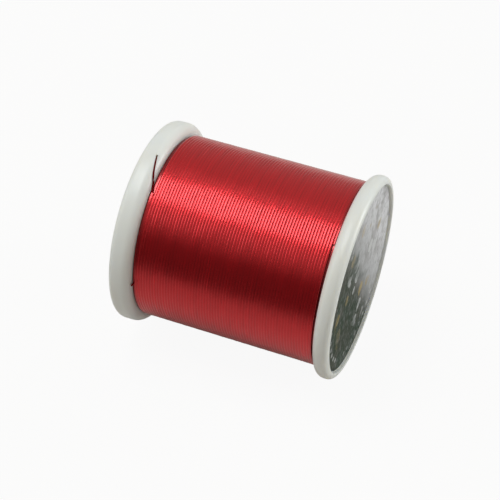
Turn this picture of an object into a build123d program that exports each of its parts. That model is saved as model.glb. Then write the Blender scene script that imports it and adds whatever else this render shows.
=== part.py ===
from build123d import *
from math import cos, pi, radians, sin, sqrt, tan, tau
import os

# A small moulded reel of thread, lying on the rims of its two end flanges.
# X runs along the reel towards the labelled end and Z is up. The origin is midway along the reel,
# on the surface that both rims rest on.

# Driving dimensions, in millimetres

# End flanges, each with a round recess for a label in its outer face
flange_radius = 12.0
plain_flange_thickness = 2.6
label_flange_thickness = 2.0
rim_inner_round = 1.05
rim_outer_round = 0.85
rim_band = 0.1
rim_facets = 3
recess_depth = 0.5
hub_radius = 5.2
seat_width = 1.6
pocket_depth = 0.6
spoke_width = 1.4
spoke_count = 6

# Spindle bore, through both flanges and the barrel
bore_radius = 3.5
bore_chamfer = 0.3

# Barrel: an outer tube and a spindle tube, tied by ribs
winding_length = 21.7
barrel_radius = 9.2
barrel_wall = 1.0
spindle_tube_wall = 1.0
rib_width = 0.8
rib_count = 6
rib_clearance = 0.3

# Spigot that centres each flange in the barrel
spigot_length = 2.0
spigot_wall = 0.9
spigot_clearance = 0.05
spigot_chamfer = 0.25

# Label
label_clearance = 0.15
label_thickness = 0.12

# Thread: the inner layers as a drum, and the outer layer as one wound length, ridged outwards
core_thickness = 0.93
thread_diameter = 0.64
thread_turns = 15
thread_sides = 3
thread_clearance = 0.05
core_clearance = 0.05
tail_leave_angle = 122.0
tail_length = 4.5
tail_lean = 0.19
tail_bend_radius = 3.0

# Notch in the plain flange's rim that holds the thread's end
notch_clearance = 0.05

# Values that follow from the driving dimensions

overall_length = plain_flange_thickness + winding_length + label_flange_thickness
plain_face = plain_flange_thickness - overall_length / 2
label_face = plain_face + winding_length
recess_radius = flange_radius - rim_outer_round
spindle_tube_radius = bore_radius + spindle_tube_wall
barrel_bore_radius = barrel_radius - barrel_wall
spigot_radius = barrel_bore_radius - spigot_clearance
rib_length = winding_length - 2 * (spigot_length + rib_clearance)
core_bore_radius = barrel_radius + core_clearance
core_radius = core_bore_radius + core_thickness
turn_radius = core_radius + thread_clearance + thread_diameter / 2
first_turn = label_face - thread_clearance - thread_diameter / 2
last_turn = plain_face + thread_clearance + thread_diameter / 2
turn_pitch = (first_turn - last_turn) / thread_turns


def across(x):
    """The plane square to the reel's axis at x, facing the labelled end."""
    return Plane(origin=(x, 0, flange_radius), x_dir=(0, 1, 0), z_dir=(1, 0, 0))


def rounded_corner(along, radius, start_angle):
    """The points of a rim's rounded corner, a quarter turn clockwise from start_angle."""
    points = []
    for step in range(rim_facets + 1):
        angle = start_angle - pi / 2 * step / rim_facets
        points.append((along + radius * cos(angle), flange_radius - radius + radius * sin(angle)))
    return points


def end_flange(face, thickness):
    """A flange built outwards from the plane of its inner face, which the barrel butts against."""
    inner_round = min(rim_inner_round, thickness - rim_outer_round - rim_band)
    floor = thickness - recess_depth
    spigot_bore = spigot_radius - spigot_wall
    half_section = Plane(face.origin, x_dir=face.z_dir, z_dir=face.z_dir.cross(Vector(0, 0, 1)))
    with BuildPart() as flange:
        with BuildSketch(half_section):
            with BuildLine():
                Polyline(
                    (0, bore_radius),
                    (0, spigot_bore),
                    (-spigot_length, spigot_bore),
                    (-spigot_length, spigot_radius - spigot_chamfer),
                    (spigot_chamfer - spigot_length, spigot_radius),
                    (0, spigot_radius),
                    *rounded_corner(inner_round, inner_round, pi),
                    *rounded_corner(thickness - rim_outer_round, rim_outer_round, pi / 2),
                    (floor, recess_radius),
                    (floor, bore_radius + bore_chamfer),
                    (floor - bore_chamfer, bore_radius),
                    close=True,
                )
            make_face()
        revolve(axis=Axis((0, 0, flange_radius), (1, 0, 0)))
        with BuildSketch(face.offset(floor)):
            Circle(recess_radius - seat_width)
            Circle(hub_radius, mode=Mode.SUBTRACT)
            with PolarLocations(0, spoke_count):
                Rectangle(
                    flange_radius, spoke_width, align=(Align.MIN, Align.CENTER), mode=Mode.SUBTRACT
                )
        extrude(amount=-pocket_depth, mode=Mode.SUBTRACT)
    return flange.part


def turn_angle(turn):
    """The angle about the reel's axis, from Y, at that many turns from the labelled end."""
    return radians(tail_leave_angle) + tau * (thread_turns - turn)


def turn_point(turn):
    """The point on the thread's centre line at that turn."""
    angle = turn_angle(turn)
    x = first_turn - turn_pitch * turn
    return Vector(x, turn_radius * cos(angle), flange_radius + turn_radius * sin(angle))


def turn_direction(turn):
    """The direction in which the thread runs at that turn."""
    angle = turn_angle(turn)
    run = tau * turn_radius
    return Vector(-turn_pitch, run * sin(angle), -run * cos(angle)).normalized()


def biarc_joint(start, start_direction, end, end_direction):
    """The point where two arcs meet that leave and arrive as given, and the direction there."""
    chord = end - start
    a = 2 * start_direction.dot(end_direction) - 2
    b = -2 * chord.dot(start_direction + end_direction)
    c = chord.dot(chord)
    reach = (-b - sqrt(b * b - 4 * a * c)) / (2 * a)
    before = start + start_direction * reach
    after = end - end_direction * reach
    return (before + after) / 2, (after - before).normalized()


# Thread path: a helix from the labelled end, then a bend and a straight tail over the rim

thread_start = turn_point(0) - turn_direction(0) * thread_diameter
leave_direction = turn_direction(thread_turns)
tail_direction = (leave_direction + Vector(-tail_lean, 0, 0)).normalized()
tail_turn = radians(leave_direction.get_angle(tail_direction))
bend_reach = tail_bend_radius * tan(tail_turn / 2)
tail_start = turn_point(thread_turns) + (leave_direction + tail_direction) * bend_reach

with BuildLine() as thread_path:
    Line(thread_start, turn_point(0))
    for half in range(2 * thread_turns):
        start = turn_point(half / 2)
        end = turn_point((half + 1) / 2)
        start_direction = turn_direction(half / 2)
        end_direction = turn_direction((half + 1) / 2)
        middle, middle_direction = biarc_joint(start, start_direction, end, end_direction)
        TangentArc(start, middle, tangent=start_direction)
        TangentArc(middle, end, tangent=middle_direction)
    TangentArc(turn_point(thread_turns), tail_start, tangent=leave_direction)
    Line(tail_start, tail_start + tail_direction * tail_length)

# Flange at the labelled end

with BuildPart() as label_flange:
    add(end_flange(across(label_face), label_flange_thickness))

# Flange at the plain end, notched along the tail through its rim's inner edge

notch_plane = Plane(tail_start, x_dir=tail_direction, z_dir=tail_direction.cross(Vector(1, 0, 0)))

with BuildPart() as plain_flange:
    add(end_flange(across(plain_face).rotated((0, 180, 0)), plain_flange_thickness))
    with BuildSketch(notch_plane.offset(thread_diameter / 2 + notch_clearance)):
        with Locations((-bend_reach, -thread_diameter / 2 - notch_clearance)):
            Rectangle(flange_radius, thread_diameter + rim_inner_round, align=(Align.MIN, Align.MIN))
    extrude(amount=-flange_radius, mode=Mode.SUBTRACT)

# Barrel

with BuildPart() as barrel:
    with BuildSketch(across(plain_face)):
        Circle(barrel_radius)
        Circle(barrel_bore_radius, mode=Mode.SUBTRACT)
        Circle(spindle_tube_radius)
        Circle(bore_radius, mode=Mode.SUBTRACT)
    extrude(amount=winding_length)
    with BuildSketch(across(plain_face + spigot_length + rib_clearance)):
        with PolarLocations(0, rib_count):
            Rectangle(barrel_radius - barrel_wall / 2, rib_width, align=(Align.MIN, Align.CENTER))
        Circle(spindle_tube_radius - spindle_tube_wall / 2, mode=Mode.SUBTRACT)
    extrude(amount=rib_length)

# Label, on the floor of the recess

with BuildPart() as end_label:
    with BuildSketch(across(label_face + label_flange_thickness - recess_depth)):
        Circle(recess_radius - label_clearance)
    extrude(amount=label_thickness)

# Inner layers of thread

with BuildPart() as thread_core:
    with BuildSketch(across(plain_face + core_clearance)):
        Circle(core_radius)
        Circle(core_bore_radius, mode=Mode.SUBTRACT)
    extrude(amount=winding_length - 2 * core_clearance)

# Outer layer of thread, with one edge of its section outwards

with BuildPart() as thread_winding:
    with BuildSketch(Plane(thread_start, x_dir=(1, 0, 0), z_dir=turn_direction(0))):
        RegularPolygon(radius=thread_diameter / 2, side_count=thread_sides, rotation=-90)
    sweep(path=thread_path.edges(), is_frenet=True)

# Least gap between one turn of the thread and the next

thread_wire = Wire(thread_path.edges())
steps_per_turn = 60
steps = steps_per_turn * thread_turns
points = [thread_wire @ (step / steps) for step in range(steps + 1)]
spacing = min(
    (points[first] - points[second]).length
    for first in range(steps + 1)
    for second in range(first + steps_per_turn // 2, min(first + 2 * steps_per_turn, steps + 1))
)
print(f"least gap between turns: {spacing - thread_diameter:.2f} mm")

# Names and files

os.makedirs("parts", exist_ok=True)
pieces = {
    "label_flange": label_flange,
    "plain_flange": plain_flange,
    "barrel": barrel,
    "end_label": end_label,
    "thread_core": thread_core,
    "thread_winding": thread_winding,
}
for name, piece in pieces.items():
    piece.part.label = name
    export_step(piece.part, f"parts/{name}.step")
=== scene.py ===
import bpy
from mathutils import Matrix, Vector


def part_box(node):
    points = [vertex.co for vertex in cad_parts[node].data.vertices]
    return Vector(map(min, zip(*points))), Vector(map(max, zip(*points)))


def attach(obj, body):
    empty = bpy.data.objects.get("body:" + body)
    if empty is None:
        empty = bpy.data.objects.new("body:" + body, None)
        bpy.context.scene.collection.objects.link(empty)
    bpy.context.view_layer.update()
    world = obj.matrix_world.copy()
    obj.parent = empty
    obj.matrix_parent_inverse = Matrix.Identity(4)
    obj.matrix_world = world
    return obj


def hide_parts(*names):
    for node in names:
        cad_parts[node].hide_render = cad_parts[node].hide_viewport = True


bl_info = {
    "name": "Thread Reel",
    "version": (1, 0, 0),
    "blender": (4, 5, 0),
    "location": "View3D > Sidebar > Thread Reel",
    "description": "Builds the finished look of a small moulded reel of glossy thread",
    "category": "Object",
}

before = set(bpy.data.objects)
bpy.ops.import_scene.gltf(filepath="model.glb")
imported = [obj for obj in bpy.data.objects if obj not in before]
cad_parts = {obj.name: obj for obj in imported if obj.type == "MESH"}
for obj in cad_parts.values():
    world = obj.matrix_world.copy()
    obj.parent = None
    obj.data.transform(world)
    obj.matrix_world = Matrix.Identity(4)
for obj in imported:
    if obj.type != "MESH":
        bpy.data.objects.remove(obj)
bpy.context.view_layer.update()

from math import atan2, cos, hypot, pi, radians, sin, tau

import bmesh
import bpy
from bpy.props import FloatProperty, FloatVectorProperty, IntProperty, PointerProperty
from mathutils import Matrix, Vector, noise

MM = 0.001

# Places that the construction model fixes. X runs along the reel towards its labelled end.

plain_low, plain_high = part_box("plain_flange")
labelled_low, labelled_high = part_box("label_flange")
barrel_low, barrel_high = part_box("barrel")
disc_low, disc_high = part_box("end_label")

FLANGE_RADIUS = (plain_high.z - plain_low.z) / 2
AXIS = Vector((0.0, 0.0, (plain_high.z + plain_low.z) / 2))
ALONG = Vector((1.0, 0.0, 0.0))
PLAIN_FACE = barrel_low.x
LABEL_FACE = barrel_high.x
RECESS_DEPTH = labelled_high.x - disc_low.x
LABEL_RADIUS = (disc_high.z - disc_low.z) / 2
SPIGOT_LENGTH = LABEL_FACE - labelled_low.x
BARREL_RADIUS = (barrel_high.z - barrel_low.z) / 2

# How finely round shapes are drawn

FLANGE_STEPS = 192
POCKET_STEPS = 144
LAYER_STEPS = 128
TURN_STEPS = 96
THREAD_SIDES = 10
FREE_END_SECTIONS = 16
STUB_SECTIONS = 6

SHARP_ANGLE = 35.0
THREAD_SHARP_ANGLE = 80.0
WELD_DISTANCE = 1e-7
PROUD = 0.3 * MM  # how far a cutting tool stands out of what it cuts


def length(name, description, millimetres):
    """A length that a user can set, given here in millimetres."""
    return FloatProperty(
        name=name,
        description=description,
        default=millimetres * MM,
        min=0.0,
        precision=5,
        subtype="DISTANCE",
        unit="LENGTH",
    )


def colour(name, description, value):
    """A colour that a user can set."""
    return FloatVectorProperty(
        name=name, description=description, default=value, size=3, min=0.0, max=1.0, subtype="COLOR"
    )


def angle(name, description, turn):
    """An angle that a user can set, given here in degrees."""
    return FloatProperty(
        name=name, description=description, default=radians(turn), subtype="ANGLE", unit="ROTATION"
    )


class FlangeSettings(bpy.types.PropertyGroup):
    """Sizes and colour of the two moulded flanges"""

    inner_round: length("Inner Round", "Radius of the rim's edge towards the thread", 1.05)
    outer_round: length("Outer Round", "Radius of the rim's outer edge", 0.72)
    lip_round: length("Lip Round", "Radius of the small edge round the recess", 0.08)
    label_gap: length("Label Gap", "Gap between the label and the wall of its recess", 0.15)
    bore_radius: length("Bore Radius", "Radius of the spindle bore", 3.5)
    bore_chamfer: length("Bore Chamfer", "Chamfer at the bore's mouth", 0.3)
    spigot_radius: length("Spigot Radius", "Outer radius of the spigot inside the barrel", 8.15)
    spigot_wall: length("Spigot Wall", "Wall of the spigot inside the barrel", 0.9)
    hub_radius: length("Hub Radius", "Radius of the plain hub round the bore", 5.2)
    seat_width: length("Label Seat", "Width of the plain ring outside the pockets", 1.6)
    pocket_depth: length("Pocket Depth", "Depth of the pockets between the spokes", 0.6)
    spoke_width: length("Spoke Width", "Width of each spoke between two pockets", 1.4)
    spokes: IntProperty(
        name="Spokes", description="Number of spokes, an even number", default=6, min=2
    )
    plastic: colour("Plastic", "Colour of the moulded plastic", (0.765, 0.79, 0.775))


class ThreadSettings(bpy.types.PropertyGroup):
    """Sizes and colour of the wound thread"""

    turns: IntProperty(name="Turns", description="Turns in the outer layer", default=64, min=1)
    winding_radius: length("Winding Radius", "Outer radius of the winding", 10.87)
    thickness: length("Thickness", "Thickness of the taut thread, across the layer", 0.135)
    loose_thickness: length("Loose Thickness", "Thickness of the thread's free end", 0.23)
    leave_angle: angle("Leaving Angle", "Where the free end leaves, from the back", 116.0)
    lean: FloatProperty(
        name="Lean", description="How far the free end leans into the flange", default=0.205
    )
    tail_depth: length("Free End Depth", "How far the free end lies under the rim's surface", 0.11)
    tail_length: length("Free End", "Length of the free end in its slit", 4.4)
    last_gap: length("Last Gap", "How far the last turn stands off towards the flange", 0.16)
    stub_angle: angle("Stub Angle", "Where the thread's other end is, from the back", 175.0)
    stub_length: length("Stub Length", "How far the thread's other end stands out", 0.55)
    red: colour("Thread", "Colour of the thread", (0.76, 0.008, 0.015))


class LabelSettings(bpy.types.PropertyGroup):
    """Colours of the printed label"""

    dark: colour("Dark Print", "Colour of the label's darker field", (0.01, 0.034, 0.014))
    silver: colour("Silver", "Colour of the label's paler field", (0.72, 0.72, 0.75))
    brown: colour("Brown", "Colour of the brown clouds", (0.05, 0.04, 0.025))
    gold: colour("Gold", "Colour of the gold petals", (0.45, 0.33, 0.12))
    white: colour("White Print", "Colour of the white petals and beads", (0.66, 0.68, 0.68))


class StageSettings(bpy.types.PropertyGroup):
    """Camera, lamps and floor"""

    azimuth: angle("Azimuth", "The camera's turn round the reel, from the front", 21.43)
    elevation: angle("Elevation", "The camera's height above the horizon", 47.37)
    distance: length("Distance", "From the camera to the point it looks at", 169.79)
    lens: FloatProperty(
        name="Lens", description="Focal length in millimetres", default=105.64, min=1.0
    )
    floor: colour("Floor", "Colour of the floor", (0.6, 0.58, 0.55))


# Mesh helpers


def half_section(bm, outline, rounds):
    """Draws a closed half-section of (along, out) points and rounds the numbered corners."""
    corners = [bm.verts.new((along, 0.0, AXIS.z + out)) for along, out in outline]
    for first, second in zip(corners, corners[1:] + corners[:1]):
        bm.edges.new((first, second))
    for number, (radius, segments) in rounds.items():
        bmesh.ops.bevel(
            bm,
            geom=[corners[number]],
            offset=radius,
            offset_type="OFFSET",
            segments=segments,
            profile=0.5,
            affect="VERTICES",
            material=-1,
        )


def turn_round(bm, steps):
    """Spins all that is drawn so far once round the reel's axis."""
    bmesh.ops.spin(
        bm,
        geom=bm.verts[:] + bm.edges[:],
        cent=AXIS,
        axis=ALONG,
        angle=tau,
        steps=steps,
        use_merge=True,
    )
    bmesh.ops.remove_doubles(bm, verts=bm.verts, dist=WELD_DISTANCE)
    bmesh.ops.recalc_face_normals(bm, faces=bm.faces)


def grow(bm, edges, step):
    """Extrudes the edges by a step and returns the new vertices and edges."""
    grown = bmesh.ops.extrude_edge_only(bm, edges=edges)["geom"]
    fresh = [item for item in grown if isinstance(item, bmesh.types.BMVert)]
    new_edges = [item for item in grown if isinstance(item, bmesh.types.BMEdge)]
    ahead = [edge for edge in new_edges if all(vertex in fresh for vertex in edge.verts)]
    bmesh.ops.translate(bm, verts=fresh, vec=step)
    return fresh, ahead


def make_piece(bm, name, material, sharp_angle=SHARP_ANGLE):
    """Turns a finished bmesh into a smoothly shaded object in the scene."""
    for face in bm.faces:
        face.smooth = True
    for edge in bm.edges:
        edge.smooth = edge.calc_face_angle(0.0) < radians(sharp_angle)
    mesh = bpy.data.meshes.new(name)
    bm.to_mesh(mesh)
    bm.free()
    if material is not None:
        mesh.materials.append(material)
    piece = bpy.data.objects.new(name, mesh)
    bpy.context.scene.collection.objects.link(piece)
    return piece


def apply_modifiers(piece):
    """Bakes the piece's modifiers into its mesh."""
    bpy.context.view_layer.update()
    evaluated = piece.evaluated_get(bpy.context.evaluated_depsgraph_get())
    old = piece.data
    piece.data = bpy.data.meshes.new_from_object(evaluated)
    piece.modifiers.clear()
    bpy.data.meshes.remove(old)


def cut_away(piece, cutter):
    """Cuts the cutter's space out of the piece and removes the cutter."""
    modifier = piece.modifiers.new("cut", "BOOLEAN")
    modifier.operation = "DIFFERENCE"
    modifier.solver = "EXACT"
    modifier.object = cutter
    apply_modifiers(piece)
    bpy.data.objects.remove(cutter)


# Material helpers


def new_material(name):
    """An empty node material, its tree and its shader."""
    material = bpy.data.materials.new(name)
    material.use_nodes = True
    tree = material.node_tree
    return material, tree, tree.nodes["Principled BSDF"]


def add_node(tree, kind, settings=None, **inputs):
    """Adds a node, sets its options, and sets or links its inputs by name."""
    node = tree.nodes.new(kind)
    for option, value in (settings or {}).items():
        setattr(node, option, value)
    set_inputs(tree, node, **inputs)
    return node


def set_inputs(tree, node, **inputs):
    """Sets or links a node's inputs, named with underscores for spaces."""
    for name, value in inputs.items():
        plug(tree, node.inputs[name.replace("_", " ")], value)


def plug(tree, socket, value):
    """Links an output to the socket, or sets the socket's own value."""
    if isinstance(value, bpy.types.NodeSocket):
        tree.links.new(value, socket)
    else:
        socket.default_value = value


def maths(tree, operation, first, second=0.0):
    """The result of a Math node."""
    node = tree.nodes.new("ShaderNodeMath")
    node.operation = operation
    plug(tree, node.inputs[0], first)
    plug(tree, node.inputs[1], second)
    return node.outputs[0]


def mixed(tree, amount, first, second):
    """A colour between two others."""
    node = tree.nodes.new("ShaderNodeMix")
    node.data_type = "RGBA"
    plug(tree, node.inputs[0], amount)
    for number, shown in ((6, first), (7, second)):
        opaque = shown if isinstance(shown, bpy.types.NodeSocket) else (*shown, 1.0)
        plug(tree, node.inputs[number], opaque)
    return node.outputs[2]


def ramp(tree, value, stops):
    """A grey ramp through (position, level) stops."""
    node = tree.nodes.new("ShaderNodeValToRGB")
    elements = node.color_ramp.elements
    while len(elements) < len(stops):
        elements.new(1.0)
    for element, (position, level) in zip(elements, stops):
        element.position = position
        element.color = (level, level, level, 1.0)
    tree.links.new(value, node.inputs[0])
    return node.outputs[0]


def stretched(tree, value, low, high):
    """The value from 0 to 1, stretched to run from low to high."""
    return add_node(tree, "ShaderNodeMapRange", Value=value, To_Min=low, To_Max=high).outputs[0]


def faded(tree, value, start, end):
    """A share that grows from 0 to 1 while the value goes from start to end."""
    node = add_node(tree, "ShaderNodeMapRange", Value=value, From_Min=start, From_Max=end)
    return node.outputs[0]


def noise_pattern(tree, place, scale, detail, roughness=0.5):
    """A cloudy random pattern."""
    return add_node(
        tree, "ShaderNodeTexNoise", Vector=place, Scale=scale, Detail=detail, Roughness=roughness
    )


def distance_out(tree, place):
    """The length of a vector."""
    node = add_node(tree, "ShaderNodeVectorMath", {"operation": "LENGTH"})
    tree.links.new(place, node.inputs[0])
    return node.outputs["Value"]


def darker(base, share):
    """The colour at a share of its strength."""
    return tuple(part * share for part in base)


def reel_millimetres(tree, scale=(1.0, 1.0, 1.0)):
    """The place on the reel in millimetres, with its axis as the origin."""
    place = tree.nodes.new("ShaderNodeTexCoord")
    mapping = tree.nodes.new("ShaderNodeMapping")
    origin = [-part * size / MM for part, size in zip(AXIS, scale)]
    mapping.inputs["Scale"].default_value = [part / MM for part in scale]
    mapping.inputs["Location"].default_value = origin
    tree.links.new(place.outputs["Object"], mapping.inputs["Vector"])
    return mapping.outputs[0]


def moulded_plastic(name, base):
    """Glossy white moulded plastic, a little milky, with faint flow marks and handling wear."""
    material, tree, shader = new_material(name)
    place = reel_millimetres(tree)
    cloud = noise_pattern(tree, place, 0.16, 3.0, 0.55)
    tone = ramp(tree, cloud.outputs["Fac"], [(0.3, 0.0), (0.7, 1.0)])
    warm = tuple(part * shade for part, shade in zip(base, (1.02, 0.985, 0.94)))
    smear = noise_pattern(tree, place, 0.9, 4.0, 0.6)
    pitted = noise_pattern(tree, place, 5.0, 2.0)
    bump = add_node(
        tree,
        "ShaderNodeBump",
        Strength=0.03,
        Distance=0.03 * MM,
        Height=pitted.outputs["Fac"],
    )
    set_inputs(
        tree,
        shader,
        Base_Color=mixed(tree, tone, tuple(base), warm),
        Roughness=stretched(tree, smear.outputs["Fac"], 0.27, 0.4),
        Normal=bump.outputs[0],
        IOR=1.49,
        Subsurface_Weight=0.35,
        Subsurface_Radius=(1.0, 0.95, 0.8),
        Subsurface_Scale=0.9 * MM,
    )
    return material


def thread_relief(tree, along, turn):
    """The thread's relief: the fine twist of its strands, and slow waves that bend the light."""
    strands_round, strands_along = 160.0, 17.0
    lay = maths(
        tree,
        "ADD",
        maths(tree, "MULTIPLY", turn, strands_round),
        maths(tree, "MULTIPLY", along, strands_along),
    )
    strands = add_node(
        tree,
        "ShaderNodeBump",
        Strength=0.05,
        Distance=0.01 * MM,
        Height=maths(tree, "SINE", lay),
    )
    waves = noise_pattern(tree, reel_millimetres(tree, (0.5, 0.3, 0.3)), 1.0, 0.0)
    relief = add_node(
        tree,
        "ShaderNodeBump",
        Strength=0.5,
        Distance=0.1 * MM,
        Height=waves.outputs["Fac"],
        Normal=strands.outputs[0],
    )
    return relief.outputs[0]


def thread_shade(tree, along):
    """Painted shade for the thread's colour: 0 in the grooves between turns and in the corners at
    the flanges, 1 out in the light.
    """
    groove_bottom, groove_top = 10.795, 10.84
    corner_dark, corner_light = 0.1, 0.5
    out = distance_out(tree, reel_millimetres(tree, (0.0, 1.0, 1.0)))
    groove = faded(tree, out, groove_bottom, groove_top)
    middle = (PLAIN_FACE + LABEL_FACE) / 2 / MM
    half = (LABEL_FACE - PLAIN_FACE) / 2 / MM
    aside = maths(tree, "ABSOLUTE", maths(tree, "SUBTRACT", along, middle))
    corner = faded(tree, aside, half - corner_dark, half - corner_light)
    return maths(tree, "MINIMUM", groove, corner)


def twisted_thread(name, base, roughness, metallic, coat):
    """Smooth twisted thread, which is silky and nearly metallic where it is wound tight."""
    material, tree, shader = new_material(name)
    parts = add_node(tree, "ShaderNodeSeparateXYZ", Vector=reel_millimetres(tree))
    along = parts.outputs["X"]
    turn = maths(tree, "ARCTAN2", parts.outputs["Z"], parts.outputs["Y"])
    relief = thread_relief(tree, along, turn)
    streak = noise_pattern(tree, reel_millimetres(tree, (2.6, 0.1, 0.1)), 1.0, 4.0, 0.6)
    tone = ramp(tree, streak.outputs["Fac"], [(0.3, 0.0), (0.7, 1.0)])
    streaked = mixed(tree, tone, darker(base, 0.8), tuple(base))
    set_inputs(
        tree,
        shader,
        # Painted shade: the red darkens to 0.35 of itself in the grooves between turns and in the
        # corners at the flanges.
        Base_Color=mixed(tree, thread_shade(tree, along), darker(base, 0.35), streaked),
        Roughness=stretched(tree, streak.outputs["Fac"], *roughness),
        Normal=relief,
        Metallic=metallic,
        IOR=1.5,
        Specular_IOR_Level=0.05,
        Specular_Tint=(1.0, 0.5, 0.52, 1.0),
        Coat_Weight=coat,
        Coat_Roughness=0.2,
        Coat_Normal=relief,
    )
    return material


def bead_ring(tree, share, turn, pairs, middle, width):
    """A ring of small beads round the disc, as a mask."""
    gap = 0.72
    swell = maths(tree, "SINE", maths(tree, "MULTIPLY", turn, float(pairs)))
    above_gap = maths(tree, "SUBTRACT", maths(tree, "ABSOLUTE", swell), gap)
    half_width = maths(tree, "MULTIPLY", above_gap, width / (1.0 - gap))
    aside = maths(tree, "ABSOLUTE", maths(tree, "SUBTRACT", share, middle))
    return maths(tree, "LESS_THAN", aside, half_width)


def petals(tree, place, scale, size, share_kept):
    """Scattered plain petals of uneven size: a mask, and each one's own random level."""
    cells = add_node(tree, "ShaderNodeTexVoronoi", Vector=place, Scale=scale)
    own = add_node(tree, "ShaderNodeSeparateColor", Color=cells.outputs["Color"])
    kept = maths(tree, "LESS_THAN", own.outputs["Red"], share_kept)
    reach = maths(tree, "MULTIPLY", maths(tree, "ADD", own.outputs["Green"], 0.5), size)
    inside = maths(tree, "LESS_THAN", cells.outputs["Distance"], reach)
    return maths(tree, "MULTIPLY", kept, inside), own.outputs["Blue"]


def label_field(tree, colours, parts, cloud, fleck):
    """The label's cloudy ground from dark to silver, and how silver each place is. It is darker low
    and towards the front and paler high and towards the back: partly the print's own colours,
    partly a painted reflection.
    """
    edge = LABEL_RADIUS / MM
    # Painted reflection, in part: the field pales with height and towards the back.
    height = maths(tree, "ADD", maths(tree, "DIVIDE", parts.outputs["Z"], 4.4 * edge), 0.29)
    sloped = maths(tree, "ADD", height, maths(tree, "DIVIDE", parts.outputs["Y"], 2.1 * edge))
    rise = maths(tree, "ADD", sloped, maths(tree, "MULTIPLY", cloud, 0.36))
    lift = ramp(tree, rise, [(0.36, 0.0), (0.45, 0.12), (0.53, 0.62), (0.8, 1.0)])
    field = mixed(tree, lift, tuple(colours.dark), tuple(colours.silver))
    patch = ramp(tree, fleck, [(0.36, 1.0), (0.52, 0.0)])
    mist = darker(colours.silver, 0.3)
    speckled = mixed(tree, maths(tree, "MULTIPLY", patch, 0.5), field, mist)
    tinted = maths(tree, "MULTIPLY", ramp(tree, cloud, [(0.45, 0.0), (0.6, 1.0)]), 0.4)
    return mixed(tree, tinted, speckled, tuple(colours.brown)), lift


def printed_label(name, colours):
    """Printed metallic film: a cloudy field with scattered petals and a beaded edge. The field's
    shading from dark to silver is partly a painted reflection, and the dark band at its edge is
    painted shade.
    """
    material, tree, shader = new_material(name)
    place = reel_millimetres(tree, (0.0, 1.0, 1.0))
    parts = add_node(tree, "ShaderNodeSeparateXYZ", Vector=place)
    share = maths(tree, "DIVIDE", distance_out(tree, place), LABEL_RADIUS / MM)
    turn = maths(tree, "ARCTAN2", parts.outputs["Z"], parts.outputs["Y"])
    clouds = noise_pattern(tree, place, 0.28, 5.0, 0.65)
    flecks = noise_pattern(tree, place, 1.3, 3.0, 0.6)
    cloud, fleck = clouds.outputs["Fac"], flecks.outputs["Fac"]
    ground, lift = label_field(tree, colours, parts, cloud, fleck)

    bent = add_node(tree, "ShaderNodeVectorMath", {"operation": "ADD"})
    tree.links.new(place, bent.inputs[0])
    tree.links.new(flecks.outputs["Color"], bent.inputs[1])
    worn = ramp(tree, cloud, [(0.38, 0.1), (0.6, 0.65)])
    petal, own = petals(tree, bent.outputs[0], 0.62, 0.44, 0.34)
    middle = ramp(tree, share, [(0.0, 1.0), (0.72, 1.0), (0.8, 0.0)])
    shown = maths(tree, "MULTIPLY", maths(tree, "MULTIPLY", petal, middle), worn)
    golden = maths(tree, "GREATER_THAN", own, 0.66)
    ink = mixed(tree, golden, tuple(colours.white), tuple(colours.gold))
    with_petals = mixed(tree, shown, ground, ink)
    beads = maths(tree, "MULTIPLY", bead_ring(tree, share, turn, 21, 0.88, 0.028), worn)
    with_beads = mixed(tree, beads, with_petals, tuple(colours.white))
    # Painted shade: a dark band round the label's edge, against the wall of its recess, fainter
    # where the field is silver.
    rim = ramp(tree, share, [(0.0, 0.0), (0.955, 0.0), (0.985, 1.0)])
    edge_shade_depth = maths(tree, "SUBTRACT", 0.8, maths(tree, "MULTIPLY", lift, 0.7))
    painted_edge_shade = maths(tree, "MULTIPLY", rim, edge_shade_depth)
    bump = add_node(tree, "ShaderNodeBump", Strength=0.3, Distance=0.1 * MM, Height=cloud)
    set_inputs(
        tree,
        shader,
        Base_Color=mixed(tree, painted_edge_shade, with_beads, darker(colours.dark, 0.5)),
        Metallic=0.15,
        Specular_IOR_Level=0.1,
        Roughness=stretched(tree, fleck, 0.25, 0.5),
        Normal=bump.outputs[0],
    )
    return material


# Flanges


def flange_body(bm, sizes, face, outwards):
    """Draws and spins one flange from its inner face outwards."""
    thickness = (labelled_high.x - LABEL_FACE) if outwards > 0 else (PLAIN_FACE - plain_low.x)
    floor = thickness - RECESS_DEPTH
    recess = LABEL_RADIUS + sizes.label_gap
    spigot_bore = sizes.spigot_radius - sizes.spigot_wall
    outline = [
        (0.0, sizes.bore_radius),
        (0.0, spigot_bore),
        (-SPIGOT_LENGTH, spigot_bore),
        (-SPIGOT_LENGTH, sizes.spigot_radius),
        (0.0, sizes.spigot_radius),
        (0.0, FLANGE_RADIUS),
        (thickness, FLANGE_RADIUS),
        (thickness, recess),
        (floor, recess),
        (floor, sizes.bore_radius + sizes.bore_chamfer),
        (floor - sizes.bore_chamfer, sizes.bore_radius),
    ]
    placed = [(face + outwards * along, out) for along, out in outline]
    rounds = {  # corner of the outline: radius and segments
        3: (0.2 * MM, 3),
        5: (sizes.inner_round, 12),
        6: (sizes.outer_round, 10),
        7: (sizes.lip_round, 4),
        8: (0.1 * MM, 3),
    }
    half_section(bm, placed, rounds)
    turn_round(bm, FLANGE_STEPS)
    return face + outwards * floor


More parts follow.
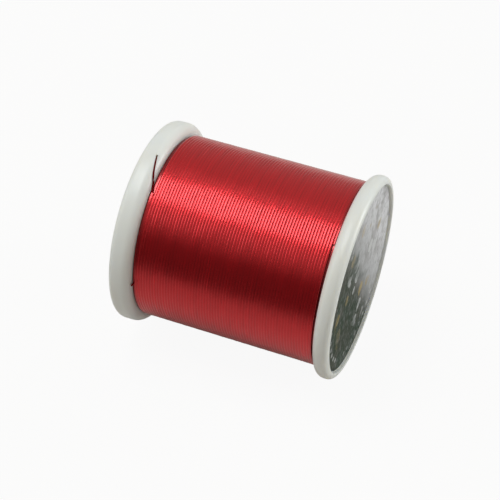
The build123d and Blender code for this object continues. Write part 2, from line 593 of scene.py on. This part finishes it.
def pocket_cutter(sizes, floor, outwards):
    """The ring of pockets between a flange's spokes, as one tool."""
    outer = LABEL_RADIUS + sizes.label_gap - sizes.seat_width
    bm = bmesh.new()
    deep = floor - outwards * sizes.pocket_depth
    proud = floor + outwards * PROUD
    ring = [(deep, sizes.hub_radius), (deep, outer), (proud, outer), (proud, sizes.hub_radius)]
    half_section(bm, ring, {})
    turn_round(bm, POCKET_STEPS)
    normals = []
    for spoke in range(sizes.spokes // 2):
        turn = tau * spoke / sizes.spokes
        normal = Vector((0.0, -sin(turn), cos(turn)))
        normals.append(normal)
        for side in (-1, 1):
            bmesh.ops.bisect_plane(
                bm,
                geom=bm.verts[:] + bm.edges[:] + bm.faces[:],
                dist=1e-8,
                plane_co=AXIS + normal * side * sizes.spoke_width / 2,
                plane_no=normal,
            )

    def on_a_spoke(face):
        centre = face.calc_center_median() - AXIS
        return any(abs(centre.dot(normal)) < sizes.spoke_width / 2 for normal in normals)

    bmesh.ops.delete(bm, geom=[face for face in bm.faces if on_a_spoke(face)], context="FACES")
    bmesh.ops.holes_fill(bm, edges=[edge for edge in bm.edges if edge.is_boundary], sides=0)
    bmesh.ops.recalc_face_normals(bm, faces=bm.faces)
    return make_piece(bm, "pocket_cutter", None)


# Thread


def turn_pitch(thread):
    """The distance along the reel from one turn to the next."""
    return (LABEL_FACE - PLAIN_FACE - thread.last_gap) / (thread.turns + 1)


def free_end_lines(thread):
    """Where the thread's free end leaves the winding, the way out there, and the way it runs."""
    turn = thread.leave_angle
    out = Vector((0.0, cos(turn), sin(turn)))
    run = Vector((0.0, sin(turn), -cos(turn)))
    start = AXIS + out * (thread.winding_radius - thread.thickness / 2)
    start.x = PLAIN_FACE + turn_pitch(thread) / 2
    return start, out, (run - ALONG * thread.lean).normalized()


def flat_section(bm, thread, place):
    """The outline of the thread's flattened cross-section at its leaving angle, as edges."""
    overlap = 1.04
    ring = bmesh.ops.create_circle(bm, segments=THREAD_SIDES, radius=0.5)["verts"]
    bmesh.ops.rotate(bm, verts=ring, cent=(0, 0, 0), matrix=Matrix.Rotation(pi / 2, 3, "X"))
    bmesh.ops.scale(bm, verts=ring, vec=(turn_pitch(thread) * overlap, 1.0, thread.thickness))
    upright = Matrix.Rotation(thread.leave_angle - pi / 2, 3, "X")
    bmesh.ops.rotate(bm, verts=ring, cent=(0, 0, 0), matrix=upright)
    bmesh.ops.translate(bm, verts=ring, vec=place)
    return list({edge for vertex in ring for edge in vertex.link_edges})


def under_rim(sizes, point):
    """How far a point lies under the inner side of the slit flange's rim."""
    along = point.x - (PLAIN_FACE - sizes.inner_round)
    out = (point - AXIS).yz.length - (FLANGE_RADIUS - sizes.inner_round)
    if along > 0.0 and out > 0.0:
        return sizes.inner_round - hypot(along, out)
    return PLAIN_FACE - point.x


def slit_cutter(thread):
    """The narrow slit that holds the thread's free end, as a tool."""
    start, _, tail = free_end_lines(thread)
    width = thread.loose_thickness * 0.85
    inward = tail.cross(ALONG).normalized()
    side = inward.cross(tail)
    reach = thread.tail_length
    depth = 4 * MM  # more than enough to pass through the rim
    bm = bmesh.new()
    bmesh.ops.create_cube(bm, size=1.0)
    bmesh.ops.scale(bm, verts=bm.verts, vec=(reach, width, depth))
    bmesh.ops.translate(bm, verts=bm.verts, vec=(reach / 2, 0.0, width / 2 - depth / 2))
    turned = Matrix((tail, side, inward)).transposed().to_4x4()
    bmesh.ops.transform(bm, matrix=Matrix.Translation(start) @ turned, verts=bm.verts)
    bmesh.ops.recalc_face_normals(bm, faces=bm.faces)
    return make_piece(bm, "slit_cutter", None)


def unsettle(bm, thread, start):
    """Lets the turns sway and rise a little, and lets the last one stray to the flange."""
    pitch = turn_pitch(thread)
    sway_reach, rise_reach = 0.03 * MM, 0.022 * MM
    sways_per_metre, sways_round = 300, 1.5
    rises_per_turn = 34.0
    stray_turns = 0.4
    for vertex in bm.verts:
        place = vertex.co - AXIS
        turn = atan2(place.z, place.y)
        spot = (place.x * sways_per_metre, cos(turn) * sways_round, sin(turn) * sways_round)
        sway = noise.noise(Vector(spot))
        wound = round((place.x - start.x) / pitch + turn / tau) - turn / tau
        rise = noise.noise(Vector((wound * rises_per_turn, 0.0, 0.0)))
        outward = Vector((0.0, cos(turn), sin(turn)))
        turns_left = max(0.0, (place.x - start.x - thread.last_gap) / pitch)
        strayed = max(0.0, 1.0 - turns_left / stray_turns)
        strayed = strayed * strayed * (3.0 - 2.0 * strayed)
        vertex.co += ALONG * (sway * sway_reach * (1.0 - strayed) - thread.last_gap * strayed)
        vertex.co += outward * rise * rise_reach


def wind_turns(thread, material):
    """The outer layer: one flat turn spun round the reel, then repeated along it."""
    pitch = turn_pitch(thread)
    start = free_end_lines(thread)[0]
    bm = bmesh.new()
    flat_section(bm, thread, start + ALONG * (pitch * thread.turns + thread.last_gap))
    bmesh.ops.spin(
        bm,
        geom=bm.verts[:] + bm.edges[:],
        cent=AXIS,
        axis=-ALONG,
        dvec=-ALONG * pitch / TURN_STEPS,
        angle=tau,
        steps=TURN_STEPS,
        use_merge=False,
    )
    one_turn = make_piece(bm, "one_turn", None)
    array = one_turn.modifiers.new("turns", "ARRAY")
    array.count = thread.turns
    array.use_relative_offset = False
    array.use_constant_offset = True
    array.constant_offset_displace = -ALONG * pitch
    array.use_merge_vertices = True
    array.merge_threshold = pitch * 0.02
    apply_modifiers(one_turn)
    bm = bmesh.new()
    bm.from_mesh(one_turn.data)
    bpy.data.objects.remove(one_turn)
    unsettle(bm, thread, start)
    middle = (LABEL_FACE + PLAIN_FACE) / 2
    ends = [edge for edge in bm.edges if edge.is_boundary]
    for nearer_label in (True, False):
        cap = [edge for edge in ends if (edge.verts[0].co.x > middle) == nearer_label]
        bmesh.ops.contextual_create(bm, geom=cap)
    bmesh.ops.recalc_face_normals(bm, faces=bm.faces)
    return make_piece(bm, "thread_turns", material, THREAD_SHARP_ANGLE)


def draw_free_end(bm, sizes, thread):
    """Grows the free end from the last turn along its slit, just under the rim's surface."""
    start, out, tail = free_end_lines(thread)
    round_radius = thread.loose_thickness / 2
    lift = 0.005 * MM
    sections_rounded, narrowing = 2, 0.8
    end = flat_section(bm, thread, start)
    bmesh.ops.contextual_create(bm, geom=end)
    here = start
    for number in range(FREE_END_SECTIONS):
        share = (number + 1) / FREE_END_SECTIONS
        goal = start + tail * thread.tail_length * share
        depth = thread.tail_depth * (1.0 + 2.0 * share**8)  # the very tip dives deeper
        while under_rim(sizes, goal) > depth:
            goal += out * lift
        fresh, end = grow(bm, end, goal - here)
        here = goal
        if number < sections_rounded:
            centre = sum((vertex.co for vertex in fresh), Vector()) / len(fresh)
            for vertex in fresh:
                offset = vertex.co - centre
                if offset.length > round_radius:
                    reach = max(round_radius, offset.length * narrowing)
                    vertex.co = centre + offset.normalized() * reach
    bmesh.ops.contextual_create(bm, geom=end)


def draw_stub(bm, thread):
    """Grows the thread's short other end out of the corner at the slit flange."""
    rooted = 0.3 * MM
    outward = Vector((0.0, cos(thread.stub_angle), sin(thread.stub_angle)))
    ring = bmesh.ops.create_circle(
        bm, segments=THREAD_SIDES, radius=thread.loose_thickness * 0.42
    )["verts"]
    upright = outward.to_track_quat("Z", "X").to_matrix()
    bmesh.ops.rotate(bm, verts=ring, cent=(0, 0, 0), matrix=upright)
    corner = AXIS + outward * (thread.winding_radius - rooted)
    corner.x = PLAIN_FACE + thread.loose_thickness * 0.55
    bmesh.ops.translate(bm, verts=ring, vec=corner)
    end = list({edge for vertex in ring for edge in vertex.link_edges})
    bend = outward.cross(ALONG) * 0.35 + ALONG * 0.1  # round the reel, and along it
    stride = (thread.stub_length + rooted) / STUB_SECTIONS
    for number in range(STUB_SECTIONS):
        way = (outward + bend * number / (STUB_SECTIONS - 1)).normalized()
        end = grow(bm, end, way * stride)[1]
    bmesh.ops.contextual_create(bm, geom=end)


def inner_layers(thread, material):
    """The inner layers, as one drum that lies under the outer turns."""
    clearance = 0.02 * MM
    bottom = BARREL_RADIUS + 0.05 * MM
    top = thread.winding_radius - thread.thickness * 2.0
    left, right = PLAIN_FACE + clearance, LABEL_FACE - clearance
    bm = bmesh.new()
    half_section(bm, [(left, bottom), (right, bottom), (right, top), (left, top)], {})
    turn_round(bm, LAYER_STEPS)
    return make_piece(bm, "thread_layers", material)


# Stage


def share_seen_white(tree, camera_share, mirrored_share):
    """How white a surface is to the camera, and to rays that glossy or clear surfaces send."""
    paths = tree.nodes.new("ShaderNodeLightPath")
    glossy, clear = paths.outputs["Is Glossy Ray"], paths.outputs["Is Transmission Ray"]
    mirrored = maths(tree, "MAXIMUM", glossy, clear)
    return maths(
        tree,
        "MAXIMUM",
        maths(tree, "MULTIPLY", paths.outputs["Is Camera Ray"], camera_share),
        maths(tree, "MULTIPLY", mirrored, mirrored_share),
    )


def finish_surface(tree, share, first, second, output):
    """Mixes two shader nodes by a share and links them to the output's surface."""
    mix = tree.nodes.new("ShaderNodeMixShader")
    for socket, source in zip(mix.inputs, (share, first.outputs[0], second.outputs[0])):
        tree.links.new(source, socket)
    tree.links.new(mix.outputs[0], tree.nodes[output].inputs["Surface"])


def pale_floor(tint):
    """A plain pale floor, which the camera sees as nearly white."""
    bm = bmesh.new()
    half_width = 0.6
    bmesh.ops.create_grid(bm, x_segments=1, y_segments=1, size=half_width)
    material, tree, shader = new_material("pale_floor")
    set_inputs(tree, shader, Base_Color=(*tint, 1.0), Roughness=0.9)
    white = add_node(tree, "ShaderNodeEmission", Color=(1.0, 1.0, 1.0, 1.0), Strength=1.0)
    seen = share_seen_white(tree, camera_share=0.93, mirrored_share=0.04)
    finish_surface(tree, seen, shader, white, "Material Output")
    return make_piece(bm, "floor", material)


def studio_world():
    """A soft warm light from all round, which the camera sees as white."""
    world = bpy.data.worlds.new("studio")
    world.use_nodes = True
    tree = world.node_tree
    light = tree.nodes["Background"]
    set_inputs(tree, light, Color=(1.0, 0.95, 0.88, 1.0), Strength=0.35)
    white = add_node(tree, "ShaderNodeBackground", Color=(1.0, 1.0, 1.0, 1.0), Strength=1.0)
    seen = share_seen_white(tree, camera_share=1.0, mirrored_share=0.13)
    finish_surface(tree, seen, light, white, "World Output")
    return world


def dark_card():
    """A soft-edged dark card in front of the reel, which only mirrored rays see."""
    front, rear, top, half_width = -0.246, -0.018, 0.3, 0.4
    solid_from, solid_below = -0.076, 0.13  # it fades out behind and above these
    lift = 0.5 * MM
    dark, tree, shader = new_material("dark_card")
    set_inputs(tree, shader, Base_Color=(0.08, 0.08, 0.08, 1.0), Roughness=0.9)
    place = tree.nodes.new("ShaderNodeTexCoord")
    parts = add_node(tree, "ShaderNodeSeparateXYZ", Vector=place.outputs["Object"])
    near = faded(tree, parts.outputs["Y"], rear, solid_from)
    high = faded(tree, parts.outputs["Z"], top, solid_below)
    clear = tree.nodes.new("ShaderNodeBsdfTransparent")
    share = maths(tree, "MINIMUM", near, high)
    finish_surface(tree, share, clear, shader, "Material Output")
    bm = bmesh.new()
    corners = [bm.verts.new((across, rear, lift)) for across in (-half_width, half_width)]
    edge = [bm.edges.new(corners)]
    for step in ((0.0, front - rear, 0.0), (0.0, 0.0, top)):
        edge = grow(bm, edge, Vector(step))[1]
    card = make_piece(bm, "dark_card", dark)
    card.visible_camera = False
    card.visible_diffuse = False
    card.visible_shadow = False
    return card


LAMPS = (  # name, place, width, depth and power
    ("main_lamp", (-0.08, -0.014, 0.3), 0.15, 0.12, 0.39),
    ("fill_lamp", (0.06, 0.1, 0.28), 0.09, 0.09, 0.02),
    ("side_lamp", (0.27, 0.14, 0.06), 0.16, 0.16, 0.52),
    ("front_lamp", (-0.3, -0.09, 0.24), 0.2, 0.2, 0.22),
)


def add_lamps(scene):
    """Soft lamps that all face the reel."""
    for name, place, width, depth, power in LAMPS:
        lamp = bpy.data.lights.new(name, "AREA")
        lamp.shape = "RECTANGLE"
        lamp.size = width
        lamp.size_y = depth
        lamp.energy = power
        lamp.color = (0.94, 0.99, 1.0)
        light = bpy.data.objects.new(name, lamp)
        light.location = place
        light.rotation_mode = "QUATERNION"
        light.rotation_quaternion = (AXIS - Vector(place)).to_track_quat("-Z", "Y")
        scene.collection.objects.link(light)


def add_camera(scene, stage):
    """A camera that looks down on the reel from the front and the labelled end."""
    camera = bpy.data.cameras.new("camera")
    camera.lens = stage.lens
    camera.sensor_width = 36.0
    camera.clip_start = 0.01
    camera.clip_end = 10.0
    viewer = bpy.data.objects.new("camera", camera)
    turn, rise = stage.azimuth, stage.elevation
    back = Vector((sin(turn) * cos(rise), -cos(turn) * cos(rise), sin(rise)))
    aim_aside = Vector((-0.41, -0.37, -0.08)) * MM
    aim = AXIS + aim_aside
    viewer.location = aim + back * stage.distance
    viewer.rotation_mode = "QUATERNION"
    viewer.rotation_quaternion = (-back).to_track_quat("-Z", "Y")
    scene.collection.objects.link(viewer)
    scene.camera = viewer


# Operators


class REEL_OT_add_flanges(bpy.types.Operator):
    """Add both moulded flanges with their rounded rims, recesses, pockets and thread slit"""

    bl_idname = "reel.add_flanges"
    bl_label = "Add Flanges"

    def execute(self, context):
        sizes = context.scene.reel_flanges
        thread = context.scene.reel_thread
        plastic = moulded_plastic("white_plastic", sizes.plastic)
        for name, node, face, outwards in (
            ("labelled_flange", "label_flange", LABEL_FACE, 1),
            ("slit_flange", "plain_flange", PLAIN_FACE, -1),
        ):
            bm = bmesh.new()
            floor = flange_body(bm, sizes, face, outwards)
            piece = make_piece(bm, name, plastic)
            cut_away(piece, pocket_cutter(sizes, floor, outwards))
            if outwards < 0:
                cut_away(piece, slit_cutter(thread))
            piece.data.set_sharp_from_angle(angle=radians(SHARP_ANGLE))
            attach(piece, "root")
            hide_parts(node)
        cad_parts["barrel"].data.materials.clear()
        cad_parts["barrel"].data.materials.append(plastic)
        return {"FINISHED"}


class REEL_OT_add_thread(bpy.types.Operator):
    """Wind the outer layer of thread over the inner ones and lay its free end in the slit"""

    bl_idname = "reel.add_thread"
    bl_label = "Add Thread"

    def execute(self, context):
        sizes = context.scene.reel_flanges
        thread = context.scene.reel_thread
        red = twisted_thread("red_thread", thread.red, (0.22, 0.3), metallic=0.84, coat=0.95)
        winding = wind_turns(thread, red)
        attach(winding, "root")
        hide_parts("thread_winding")

        # Painted shade: the free end in its slit and the stub at the flange are coloured at half
        # the thread's red; their rougher, less shiny finish is the thread's own.
        shade_darkened_red = darker(thread.red, 0.5)
        slack_shaded = twisted_thread("slack_shaded_thread", shade_darkened_red, (0.45, 0.6), metallic=0.1, coat=0.0)
        bm = bmesh.new()
        draw_free_end(bm, sizes, thread)
        draw_stub(bm, thread)
        bmesh.ops.recalc_face_normals(bm, faces=bm.faces)
        free_ends = make_piece(bm, "thread_ends", slack_shaded, THREAD_SHARP_ANGLE)
        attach(free_ends, "root")

        layers = inner_layers(thread, red)
        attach(layers, "root")
        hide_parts("thread_core")
        return {"FINISHED"}


class REEL_OT_finish_label(bpy.types.Operator):
    """Print the round label"""

    bl_idname = "reel.finish_label"
    bl_label = "Finish Label"

    def execute(self, context):
        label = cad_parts["end_label"]
        label.data.materials.clear()
        label.data.materials.append(printed_label("label_print", context.scene.reel_label))
        return {"FINISHED"}


class REEL_OT_set_stage(bpy.types.Operator):
    """Add the floor, the lamps, the world and the camera"""

    bl_idname = "reel.set_stage"
    bl_label = "Set Stage"

    def execute(self, context):
        scene = context.scene
        floor = pale_floor(scene.reel_stage.floor)
        scene.world = studio_world()
        card = dark_card()
        add_lamps(scene)
        add_camera(scene, scene.reel_stage)
        scene.view_settings.view_transform = "Standard"
        return {"FINISHED"}


class REEL_PT_panel(bpy.types.Panel):
    """Sizes and colours of the thread reel"""

    bl_idname = "REEL_PT_panel"
    bl_label = "Thread Reel"
    bl_space_type = "VIEW_3D"
    bl_region_type = "UI"
    bl_category = "Thread Reel"

    def draw(self, context):
        for group, operator in (
            (context.scene.reel_flanges, "reel.add_flanges"),
            (context.scene.reel_thread, "reel.add_thread"),
            (context.scene.reel_label, "reel.finish_label"),
            (context.scene.reel_stage, "reel.set_stage"),
        ):
            box = self.layout.box()
            for name in group.bl_rna.properties.keys():
                if name not in {"rna_type", "name"}:
                    box.prop(group, name)
            box.operator(operator)


CLASSES = (
    FlangeSettings,
    ThreadSettings,
    LabelSettings,
    StageSettings,
    REEL_OT_add_flanges,
    REEL_OT_add_thread,
    REEL_OT_finish_label,
    REEL_OT_set_stage,
    REEL_PT_panel,
)

SETTINGS = {
    "reel_flanges": FlangeSettings,
    "reel_thread": ThreadSettings,
    "reel_label": LabelSettings,
    "reel_stage": StageSettings,
}


def register():
    for item in CLASSES:
        bpy.utils.register_class(item)
    for name, group in SETTINGS.items():
        setattr(bpy.types.Scene, name, PointerProperty(type=group))


def unregister():
    for name in SETTINGS:
        delattr(bpy.types.Scene, name)
    for item in reversed(CLASSES):
        bpy.utils.unregister_class(item)


def main():
    register()
    bpy.ops.reel.add_flanges()
    bpy.ops.reel.add_thread()
    bpy.ops.reel.finish_label()
    bpy.ops.reel.set_stage()


if __name__ == "__main__":
    main()
